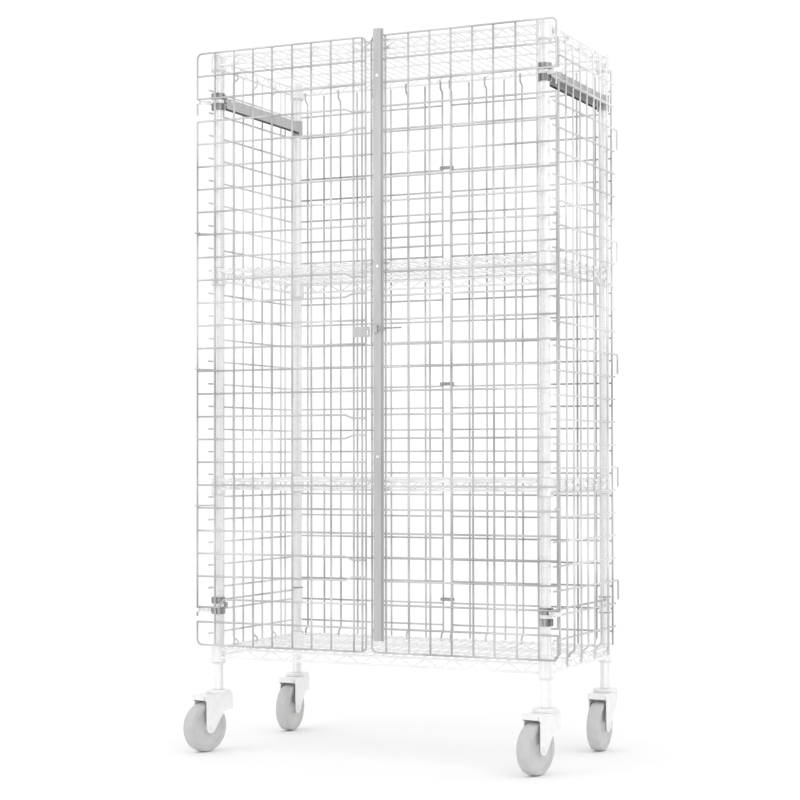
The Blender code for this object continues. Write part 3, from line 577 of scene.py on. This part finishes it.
def make_hinge_clamp(side, level):
    """Two steel bands round a bright sleeve, a lug with the door's eye, and a clamp screw."""
    name = "hinge_clamp_%s_%s" % (side, level)
    sign = SIDES[side]
    centre = Vector((sign * POST_X, Y0 - POST_Y, 0.0))
    mid = CLAMP_MIDDLES[level]
    outer = CLAMP_RADIUS
    piece = Piece()
    for z0, z1 in BANDS:
        z0, z1 = mid + z0, mid + z1
        piece.turned([(POST_FIT, z0), (outer - 0.0006, z0), (outer, z0 + 0.0007),
                      (outer, z1 - 0.0007), (outer - 0.0006, z1), (POST_FIT, z1)],
                     centre, looped=True)
    piece.finish(name + "_bands", "clamp_steel", "frame", [name])

    piece = Piece()
    sleeve = outer - 0.0030
    z0, z1 = mid + SLEEVE[0], mid + SLEEVE[1]
    piece.turned([(POST_FIT, z0), (sleeve, z0), (sleeve, z1), (POST_FIT, z1)],
                 centre, looped=True)
    low, high = LUGS[level]
    if (side, level) == ("left", "lower"):
        low, high = LEFT_LOWER_LUG
    eye = Vector((sign * DOOR_EDGE, DOOR_Y + Y0))
    root = Vector((centre.x, centre.y))
    along = (eye - root).normalized()
    across = Vector((-along.y, along.x))
    heading = math.degrees(math.atan2(along.y, along.x))
    start = root + along * (outer + 0.0002)
    waist = root + along * WAIST_REACH
    outline = [tuple(waist + across * LUG_WAIST_HALF), tuple(start + across * LUG_ROOT_HALF),
               tuple(start - across * LUG_ROOT_HALF), tuple(waist - across * LUG_WAIST_HALF)]
    outline += arc(eye, EYE_RADIUS, heading - 155, heading + 155, 16)
    piece.prism(outline, low, high, lambda u, v, w: Vector((u, v, w)))
    piece.finish(name + "_lug", "chrome_post", "frame", bevel=0.0006)

    # two small ears with the clamp screw, on the inner side of the post
    ear = Vector((-sign * 0.55, 0.835)).normalized()
    ear_side = Vector((-ear.y, ear.x))
    piece = Piece()
    for gap in (-1, 1):
        base = root + ear * (outer - 0.0006) + ear_side * gap * EAR_GAP
        corners = [base + ear_side * gap * EAR_HALF, base - ear_side * gap * EAR_HALF]
        corners += [corners[1] + ear * EAR_LENGTH, corners[0] + ear * EAR_LENGTH]
        piece.prism([tuple(c) for c in corners], mid - EAR_HALF_HEIGHT, mid + EAR_HALF_HEIGHT,
                    lambda u, v, w: Vector((u, v, w)))
    screw_point = root + ear * (outer + 0.0034)
    screw_middle = Vector((screw_point.x, screw_point.y, mid))
    shank, nut, head = 0.0018, 0.0029, 0.0030
    piece.turned([(TURNED_HOLE, -0.0072), (head, -0.0072), (head, -0.0041), (shank, -0.0041),
                  (shank, 0.0041), (nut, 0.0041), (nut, 0.0056), (0.0020, 0.0066),
                  (TURNED_HOLE, 0.0068)],
                 screw_middle, Vector((ear_side.x, ear_side.y, 0.0)), sides=18)
    piece.finish(name + "_screw", "zinc_sheet", "frame", bevel=0.0004)


# --- channels and ties ---
CHANNEL_INNER, CHANNEL_OUTER = 0.4255, 0.4525      # faces of the legs, from the middle
CHANNEL_TOP, INNER_LEG_LOW, OUTER_LEG_LOW = 1.6545, 1.6215, 1.6315
# the last value is the height of the near-black strip of painted shade at the inner leg's foot
CHANNEL_SHEET, CHANNEL_CURL, CHANNEL_SHADE_STRIP = 0.0016, 0.0030, 0.0050
CHANNEL_RING = (1.618, 1.658, 0.0158)              # low, high, radius
CHANNEL_RIVETS = ((-0.1655, 1.6480), (-0.1535, 1.6480))
TIE_X, TIE_Z = 0.4455, 0.3835
TIE_RING = (0.350, 0.391, 0.0152)
FRONT_REACH = 0.0182        # how far channel and tie stop short of a front post's middle
CHANNEL_BACK_REACH, TIE_BACK_REACH = 0.0140, 0.0120


def ring_clip(name, sign, ring, material):
    """Sheet ring round a back post, with a rolled edge at both ends."""
    low, high, radius = ring
    centre = Vector((sign * POST_X, Y0 + POST_Y, 0.0))
    piece = Piece()
    piece.turned([(POST_FIT, low), (radius - 0.0004, low), (radius, low + 0.0005),
                  (radius, low + 0.0030), (radius - 0.0006, low + 0.0036),
                  (radius - 0.0006, high - 0.0036), (radius, high - 0.0030),
                  (radius, high - 0.0005), (radius - 0.0004, high), (POST_FIT, high)],
                 centre, looped=True)
    piece.finish(name + "_ring", material, "frame")
    return centre


def make_side_channel(side):
    """Folded sheet whose inner leg ends in a near-black strip of painted shade."""
    name = side + "_side_channel"
    sign = SIDES[side]
    inner, outer = CHANNEL_INNER, CHANNEL_OUTER
    sheet, curl = CHANNEL_SHEET, CHANNEL_CURL
    shade_strip_top = INNER_LEG_LOW + CHANNEL_SHADE_STRIP
    bend_inner, bend_outer = (inner + curl, CHANNEL_TOP - curl), (outer - curl, CHANNEL_TOP - curl)
    outline = [(inner, shade_strip_top)]
    outline += arc(bend_inner, curl, 180, 90, 4)
    outline += arc(bend_outer, curl, 90, 0, 4)
    outline += [(outer, OUTER_LEG_LOW), (outer - sheet, OUTER_LEG_LOW)]
    outline += arc(bend_outer, curl - sheet, 0, 90, 4)
    outline += arc(bend_inner, curl - sheet, 90, 180, 4)
    outline += [(inner + sheet, shade_strip_top)]
    front, back = -POST_Y + FRONT_REACH, POST_Y - CHANNEL_BACK_REACH

    def place(u, v, w):
        return Vector((sign * u, w + Y0, v))

    piece = Piece()
    piece.prism(outline, front, back, place)
    piece.finish(name + "_sheet", "zinc_sheet", "frame", [name])
    # near-black strip of painted shade along the foot of the inner leg, a little wider than the
    # sheet
    piece = Piece()
    swell = 0.0004
    near, far = inner - swell, inner + sheet + swell
    piece.prism([(near, INNER_LEG_LOW), (far, INNER_LEG_LOW), (far, shade_strip_top), (near, shade_strip_top)],
                front, back, place)
    piece.finish(name + "_edge", "painted_shade_strip", "frame", bevel=0.0005)
    ring_clip(name, sign, CHANNEL_RING, "zinc_sheet")
    piece = Piece()
    for y, z in CHANNEL_RIVETS:
        piece.turned([(TURNED_HOLE, 0.0), (0.0030, 0.0), (0.0026, 0.0011), (0.0012, 0.0018),
                      (TURNED_HOLE, 0.0019)], Vector((sign * inner, y + Y0, z)), (-sign, 0, 0),
                     sides=16)
    piece.finish(side + "_channel_rivets", "chrome_post", "frame")


def make_side_tie(side):
    """Thin rod, and the ring with two dark rims that holds its back end."""
    name = side + "_side_tie"
    sign = SIDES[side]
    piece = Piece()
    piece.wire([(sign * TIE_X, -POST_Y + FRONT_REACH, TIE_Z),
                (sign * TIE_X, POST_Y - TIE_BACK_REACH, TIE_Z)])
    piece.finish(name + "_rod", "chrome_wire", "frame", [name])
    centre = ring_clip(name, sign, TIE_RING, "chrome_shelf")
    low, high, radius = TIE_RING
    rim, rim_out, rim_in = radius + 0.0006, 0.0003, 0.0022
    piece = Piece()
    for z0, z1 in ((low - rim_out, low + rim_in), (high - rim_in, high + rim_out)):
        piece.turned([(POST_FIT, z0), (rim, z0), (rim, z1), (POST_FIT, z1)], centre, looped=True)
    piece.finish(name + "_rims", "bolt_steel", "frame")


# --- latch ---
def make_rivet(level):
    """Low round head on the lock bar's face."""
    low, high = box("lock_bar_rivet_" + level)
    centre = (low + high) / 2
    base = Vector((centre.x, high.y, centre.z))
    piece = Piece()
    piece.turned([(TURNED_HOLE, 0.0), (0.0042, 0.0), (0.0040, 0.0008), (0.0031, 0.0015),
                  (0.0016, 0.0019), (TURNED_HOLE, 0.0020)], base, (0, -1, 0), sides=24)
    piece.finish("rivet_" + level, "chrome_post", "right_door_leaf", ["lock_bar_rivet_" + level])


STRAP_LENGTH, STRAP_SHEET = 0.0325, 0.0029
ROD_RADIUS, ROD_OVERLAP = 0.0019, 0.0015


def make_bolt():
    """Strap with a round nose, and the thin rod it is drawn back by."""
    low, high = box("slide_bolt")
    z = (low.z + high.z) / 2
    back = high.y
    strap_end = low.x + STRAP_LENGTH
    half = (high.z - low.z) / 2
    piece = Piece()
    outline = [(strap_end, -half), (strap_end, half)]
    outline += arc((low.x + half, 0.0), half, 90, 270, 8)
    piece.prism(outline, back - STRAP_SHEET, back, lambda u, v, w: Vector((u, w, z + v)))
    length = high.x - strap_end + ROD_OVERLAP
    rod_start = Vector((strap_end - ROD_OVERLAP, back - 0.0020, z + 0.001))
    piece.turned([(TURNED_HOLE, 0.0), (ROD_RADIUS, 0.0), (ROD_RADIUS, length - 0.0006),
                  (ROD_RADIUS * 0.7, length), (TURNED_HOLE, length)],
                 rod_start, (1, 0, 0), sides=14)
    piece.finish("slide_bolt_strap", "bolt_steel", "bolt", ["slide_bolt"], bevel=0.0003)


# --- casters ---
WHEEL_RADIUS = 0.062
TRAIL = 0.045
FORK_OUTER = 0.0245
FORK_SHEET = 0.0034
FORK_BOSS = 0.0145
PLATE_LOW, WEB_LOW = 0.1390, 0.1130         # lower edges of the plate and of the leading web
PLATE_REACH = 0.0660                        # how far the cheeks go along the trail
WEB_REACH = -0.0265
TREAD_HALF, SHOULDER, CROWN = 0.0160, 0.0060, 0.0014


def make_race(corner, centre, top):
    """Stem with the swivel's two pressed races; the line between them is open."""
    stem_high = box("caster_stem_" + corner)[1].z
    piece = Piece()
    race, stem, hole = 0.0320, 0.0106, 0.0004
    piece.turned([(hole, top + 0.0003), (race - 0.0010, top + 0.0003), (race, top + 0.0012),
                  (race, top + 0.0030), (0.0308, top + 0.0036), (0.0308, top + 0.0044),
                  (0.0318, top + 0.0050), (0.0312, top + 0.0070), (0.0285, top + 0.0085),
                  (0.0150, POST_LOW - 0.0006), (stem, POST_LOW - 0.0003),
                  (stem, stem_high - 0.001), (stem - 0.0006, stem_high), (hole, stem_high)],
                 centre)
    piece.finish("race_" + corner, "zinc_fork", "frame", ["caster_stem_" + corner])


def make_fork(corner, place, axle, hub_height, top):
    """Pressed cheeks, crown, the plate over the wheel and the short leading web."""
    piece = Piece()
    outer, sheet = FORK_OUTER, FORK_SHEET
    under = top - 0.0042
    cheek = [(PLATE_REACH, under), (PLATE_REACH, PLATE_LOW), (TRAIL + FORK_BOSS, 0.1340)]
    cheek += [(TRAIL - x, hub_height + y) for x, y in arc((0.0, 0.0), FORK_BOSS, 180, 335, 14)]
    cheek += [(0.0100, 0.0960), (0.0010, 0.1060), (-0.0080, 0.1110), (WEB_REACH, WEB_LOW),
              (WEB_REACH, under)]
    for side in (-1, 1):
        w0, w1 = sorted((side * outer, side * (outer - sheet)))
        piece.prism(cheek, w0, w1, place)
    crown = [(PLATE_REACH, -outer), (0.0700, -outer + 0.005), (0.0700, outer - 0.005),
             (PLATE_REACH, outer), (-0.0240, outer), (-0.0300, outer - 0.0080),
             (-0.0300, -outer + 0.0080), (-0.0240, -outer)]
    piece.prism(crown, top - 0.0045, top, lambda u, v, w: place(u, w, v))
    half = outer - 0.003
    for low, near, far in ((PLATE_LOW, 0.0666, 0.0698), (WEB_LOW, -0.0296, -0.0266)):
        plate = [(-half, low), (half, low), (half, top - 0.003), (-half, top - 0.003)]
        piece.prism(plate, near, far, lambda u, v, w: place(w, v, u))
    for side in (-1, 1):
        piece.turned([(0.0062, 0.0), (0.0100, 0.0), (0.0092, 0.0010), (0.0062, 0.0012)],
                     place(TRAIL, hub_height, side * outer), axle * side, sides=24, looped=True)
    piece.finish("fork_shell_" + corner, "zinc_fork", "fork_" + corner,
                 ["caster_fork_" + corner], bevel=0.0008)


def make_axle(corner, place, axle, hub_height):
    """Axle bolt with its hexagon head and nut."""
    piece = Piece()
    half = FORK_OUTER + 0.0015
    shank = 0.0048
    piece.turned([(TURNED_HOLE, -half), (shank, -half), (shank, half + 0.004),
                  (shank - 0.0008, half + 0.0045), (TURNED_HOLE, half + 0.0045)],
                 place(TRAIL, hub_height, 0.0), axle, sides=20)
    bore = shank + 0.0001
    for side, radius in ((-1, 0.0078), (1, 0.0074)):
        base = place(TRAIL, hub_height, side * (FORK_OUTER + 0.0002))
        piece.turned([(bore, 0.0), (radius, 0.0), (radius, 0.0042), (radius * 0.9, 0.0050),
                      (bore, 0.0050)], base, axle * side, sides=6, looped=True)
    piece.finish("axle_bolt_" + corner, "zinc_fork", "fork_" + corner,
                 ["caster_axle_" + corner], 25.0)


def make_wheel(corner, hub, axle):
    """Crowned tread with round shoulders on a dished hub."""
    half = TREAD_HALF
    side_arc = WHEEL_RADIUS - CROWN - SHOULDER
    half_profile = [(0.0460, half - 0.0010), (side_arc, half)]
    half_profile += [(side_arc + SHOULDER * math.sin(math.radians(a)),
                      half - SHOULDER + SHOULDER * math.cos(math.radians(a)))
                     for a in (20, 40, 60, 80)]
    half_profile += [(WHEEL_RADIUS - CROWN * t * t, t * 0.0095) for t in (1, 0.75, 0.5, 0.25)]
    profile = [(radius, -height) for radius, height in half_profile]
    profile += [(WHEEL_RADIUS, 0.0)] + half_profile[::-1]
    piece = Piece()
    piece.turned(profile, hub, axle, sides=72, looped=True)
    piece.finish("tread_" + corner, "grey_tread", "wheel_" + corner,
                 ["caster_tyre_" + corner], 45.0)
    piece = Piece()
    profile = [(0.0054, -0.0185), (0.0120, -0.0185), (0.0145, -0.0172), (0.0150, -0.0120),
               (0.0185, -0.0105), (0.0330, -0.0105), (0.0400, -0.0122), (0.0425, -0.0138),
               (0.0459, -0.0142)]
    profile += [(radius, -height) for radius, height in reversed(profile)]
    piece.turned(profile, hub, axle, sides=56, looped=True)
    piece.finish("hub_disc_" + corner, "grey_hub", "wheel_" + corner,
                 ["caster_hub_" + corner], 35.0)


def make_caster(corner):
    """A caster laid out from its two joints."""
    swivel = JOINTS["caster_swivel_" + corner]
    spin = JOINTS["wheel_spin_" + corner]
    centre = Vector((swivel["pos_m"][0], swivel["pos_m"][1], 0.0))
    hub = Vector(spin["pos_m"]) - Vector((0.0, 0.0, Z0))
    axle = Vector(spin["axis"]).normalized()
    trail = (Vector((hub.x, hub.y, 0.0)) - centre).normalized()
    top = box("caster_fork_" + corner)[1].z

    def place(u, v, w):
        """u runs along the trail from the post, v is height, w is across."""
        return centre + trail * u + axle * w + Vector((0, 0, v))

    make_race(corner, centre, top)
    make_fork(corner, place, axle, hub.z, top)
    make_axle(corner, place, axle, hub.z)
    make_wheel(corner, hub, axle)


# --- build ---
for corner in CORNERS:
    make_post(corner)
    make_caster(corner)
for level, top in SHELF_TOPS.items():
    make_shelf(level, top)
for side in SIDES:
    make_door(side)
    make_side_panel(side)
    make_back_panel(side)
    make_side_channel(side)
    make_side_tie(side)
    for level in ("upper", "lower"):
        make_hinge_clamp(side, level)
for level in ("upper", "middle", "lower"):
    make_back_clip(level)
    make_rivet(level)
make_bolt()

# the lock's sheet parts keep their CAD shape and get the sheet material
for node in ("lock_bar", "lock_bar_hook", "bolt_guide", "lock_keeper"):
    mesh = frame["nodes"][node].data
    mesh.materials.clear()
    mesh.materials.append(MATERIALS["zinc_sheet"])

# --- studio ---
FLOOR_HALF = 30.0
WORLD_STRENGTH = 1.08
LIGHTS = {                  # place, size, watts
    "key": ((-2.5, -3.5, 3.5), 3.5, 22.0),
    "fill": ((3.5, -2.0, 2.5), 2.5, 14.0),
}
LIGHT_TARGET = Vector((0, 0, 0.9))
CAMERA_PLACE = (2.0232, -4.4162, 0.7412)
CAMERA_YAW, CAMERA_PITCH, CAMERA_ROLL = 0.4356, 0.0164, -0.0015
CAMERA_LENS, CAMERA_SHIFT = 86.6, 0.0329
scene = bpy.context.scene


def make_floor():
    mesh = bpy.data.meshes.new("studio_floor")
    corners = ((-1, -1), (1, -1), (1, 1), (-1, 1))
    mesh.from_pydata([(x * FLOOR_HALF, y * FLOOR_HALF, 0) for x, y in corners],
                     [], [(0, 1, 2, 3)])
    floor = bpy.data.objects.new("studio_floor", mesh)
    scene.collection.objects.link(floor)
    material = bpy.data.materials.new("studio_floor")
    material.use_nodes = True
    shader = material.node_tree.nodes["Principled BSDF"]
    shader.inputs["Base Color"].default_value = (0.95, 0.95, 0.95, 1.0)
    shader.inputs["Roughness"].default_value = 0.9
    mesh.materials.append(material)


def make_world():
    world = bpy.data.worlds.new("studio")
    world.use_nodes = True
    background = world.node_tree.nodes["Background"]
    background.inputs["Color"].default_value = (1.0, 1.0, 1.0, 1.0)
    background.inputs["Strength"].default_value = WORLD_STRENGTH
    scene.world = world


def add_light(name, location, size, power):
    """Square area light that looks at the cart's middle."""
    data = bpy.data.lights.new(name, "AREA")
    data.shape = "RECTANGLE"
    data.size = data.size_y = size
    data.energy = power
    light = bpy.data.objects.new(name, data)
    light.location = location
    direction = LIGHT_TARGET - Vector(location)
    light.rotation_euler = direction.to_track_quat("-Z", "Y").to_euler()
    scene.collection.objects.link(light)


def add_camera():
    """The view of the cart from in front, to its right and a little below its middle."""
    data = bpy.data.cameras.new("camera")
    data.sensor_width = 36.0
    data.lens = CAMERA_LENS
    data.shift_y = CAMERA_SHIFT
    data.clip_end = 100.0
    camera = bpy.data.objects.new("camera", data)
    camera.matrix_world = (Matrix.Translation(Vector(CAMERA_PLACE) + Vector((0.0, Y0, Z0)))
                           @ Matrix.Rotation(CAMERA_YAW, 4, "Z")
                           @ Matrix.Rotation(math.pi / 2 + CAMERA_PITCH, 4, "X")
                           @ Matrix.Rotation(CAMERA_ROLL, 4, "Z"))
    scene.collection.objects.link(camera)
    scene.camera = camera


make_floor()
make_world()
for name, (location, size, power) in LIGHTS.items():
    add_light(name, location, size, power)
add_camera()
scene.view_settings.view_transform = "Standard"
